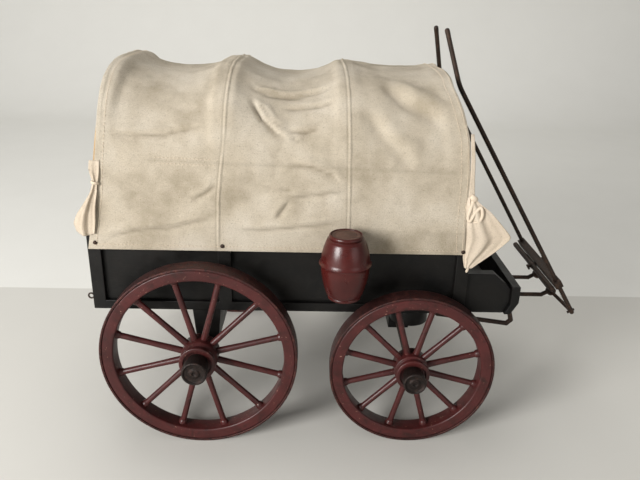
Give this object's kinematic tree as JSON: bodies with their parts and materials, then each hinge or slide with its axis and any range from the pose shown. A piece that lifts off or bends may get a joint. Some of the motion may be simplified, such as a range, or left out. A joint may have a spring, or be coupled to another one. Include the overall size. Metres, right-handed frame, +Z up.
{
  "type": "toy covered wagon",
  "caption": "Folk-art toy covered wagon: black wooden box body, canvas cover over bows, red spoked wheels, pivoting front axle and folding shafts.",
  "frame": {"origin": "on the floor under the middle of the whole model, with the shafts folded back", "axes": "+X forwards, +Y to the wagon's left, +Z up; the four wheels stand on Z = 0"},
  "size_m": [0.497, 0.341, 0.3865],
  "materials": {
    "black_paint": "black oil paint on pine, brushed, worn at the edges",
    "oxblood_paint": "oxblood red paint on turned and bent wood, worn at the edges",
    "barrel_paint": "brownish red paint on a turned barrel",
    "lid_wood": "stained brown wood",
    "bow_wood": "bare bent wood",
    "canvas": "unbleached cotton canvas, plain weave, softly creased",
    "iron": "wrought iron with a dull brown-black patina",
    "tyre_iron": "thin iron tyre, browned and rubbed"
  },
  "bodies": {
    "wagon": {"bed_floor": "black_paint", "right_side_board": "black_paint", "left_side_board": "black_paint", "right_side_frame": "black_paint", "left_side_frame": "black_paint", "tail_board": "black_paint", "front_board": "black_paint", "rear_bow": "bow_wood", "second_bow": "bow_wood", "third_bow": "bow_wood", "front_bow": "bow_wood", "canvas_cover": "canvas", "barrel": "barrel_paint", "barrel_lid": "lid_wood", "barrel_pin": "iron", "rear_bolster": "black_paint", "rear_axle": "iron", "front_bolster": "black_paint", "step_irons": "iron", "screw_eyes": "iron"},
    "fore_carriage": {"axle_block": "black_paint", "front_axle": "iron", "kingpin": "iron", "draught_irons": "iron"},
    "rear_right_wheel": {"rear_right_nave": "oxblood_paint", "rear_right_spokes": "oxblood_paint", "rear_right_felloe": "oxblood_paint", "rear_right_tyre": "tyre_iron", "rear_right_hub_cap": "iron"},
    "rear_left_wheel": {"rear_left_nave": "oxblood_paint", "rear_left_spokes": "oxblood_paint", "rear_left_felloe": "oxblood_paint", "rear_left_tyre": "tyre_iron", "rear_left_hub_cap": "iron"},
    "front_right_wheel": {"front_right_nave": "oxblood_paint", "front_right_spokes": "oxblood_paint", "front_right_felloe": "oxblood_paint", "front_right_tyre": "tyre_iron", "front_right_hub_cap": "iron"},
    "front_left_wheel": {"front_left_nave": "oxblood_paint", "front_left_spokes": "oxblood_paint", "front_left_felloe": "oxblood_paint", "front_left_tyre": "tyre_iron", "front_left_hub_cap": "iron"},
    "shafts": {"right_shaft": "iron", "left_shaft": "iron", "crossbar": "iron", "hinge_rod": "iron", "singletree_bolt": "iron"},
    "singletree": {"singletree": "iron"}
  },
  "joints": [
    {"name": "rear_right_wheel_spin", "type": "hinge", "parent": "wagon", "child": "rear_right_wheel", "pos_m": [-0.13652, -0.136, 0.0925], "axis": [0, 1, 0], "continuous": true},
    {"name": "rear_left_wheel_spin", "type": "hinge", "parent": "wagon", "child": "rear_left_wheel", "pos_m": [-0.13652, 0.136, 0.0925], "axis": [0, 1, 0], "continuous": true},
    {"name": "steering", "type": "hinge", "parent": "wagon", "child": "fore_carriage", "pos_m": [0.06518, 0, 0.112], "axis": [0, 0, 1], "range_deg": [-6, 6]},
    {"name": "front_right_wheel_spin", "type": "hinge", "parent": "fore_carriage", "child": "front_right_wheel", "pos_m": [0.06518, -0.132, 0.0788], "axis": [0, 1, 0], "continuous": true},
    {"name": "front_left_wheel_spin", "type": "hinge", "parent": "fore_carriage", "child": "front_left_wheel", "pos_m": [0.06518, 0.132, 0.0788], "axis": [0, 1, 0], "continuous": true},
    {"name": "shaft_fold", "type": "hinge", "parent": "fore_carriage", "child": "shafts", "pos_m": [0.23448, 0, 0.112], "axis": [0, 1, 0], "range_deg": [0, 140]},
    {"name": "singletree_swing", "type": "hinge", "parent": "shafts", "child": "singletree", "pos_m": [0.21829, 0, 0.13283], "axis": [0.8535, 0, 0.521], "range_deg": [-15, 15]}
  ]
}
